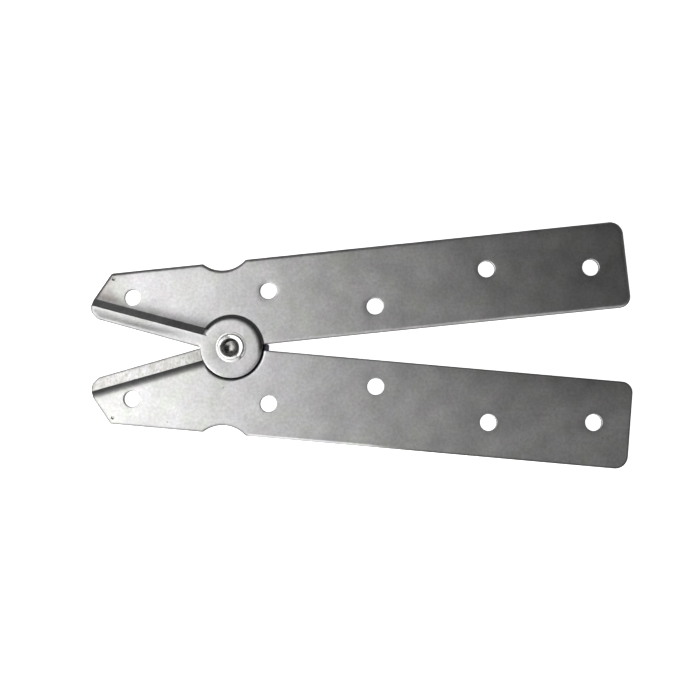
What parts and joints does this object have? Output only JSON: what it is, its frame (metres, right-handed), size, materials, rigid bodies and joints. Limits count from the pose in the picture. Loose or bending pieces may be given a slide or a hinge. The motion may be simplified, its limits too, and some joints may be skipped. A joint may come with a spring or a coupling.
{
  "type": "strap hinge",
  "caption": "Flat pressed-steel strap hinge for a folding ladder or trestle: two stepped straps with clipped noses, joined by a hollow-ended rivet.",
  "frame": {"origin": "on the rivet's axis, in the back plane of the two straps", "axes": "+X bisects the angle between the straps towards their long tails; +Y towards the upper leaf; +Z along the rivet towards its rolled lip, away from the mounting surface"},
  "size_m": [0.2181, 0.0994, 0.0083],
  "materials": {
    "leaf_steel": "satin zinc-plated sheet steel, finely mottled",
    "rivet_steel": "bright zinc-plated steel, smooth"
  },
  "bodies": {
    "lower_leaf": {"lower_leaf": "leaf_steel", "pivot_rivet": "rivet_steel"},
    "upper_leaf": {"upper_leaf": "leaf_steel"}
  },
  "joints": [
    {"name": "leaf_swing", "type": "hinge", "parent": "lower_leaf", "child": "upper_leaf", "pos_m": [0, 0, 0], "axis": [0, 0, 1], "range_deg": [-10.7, 21]}
  ]
}
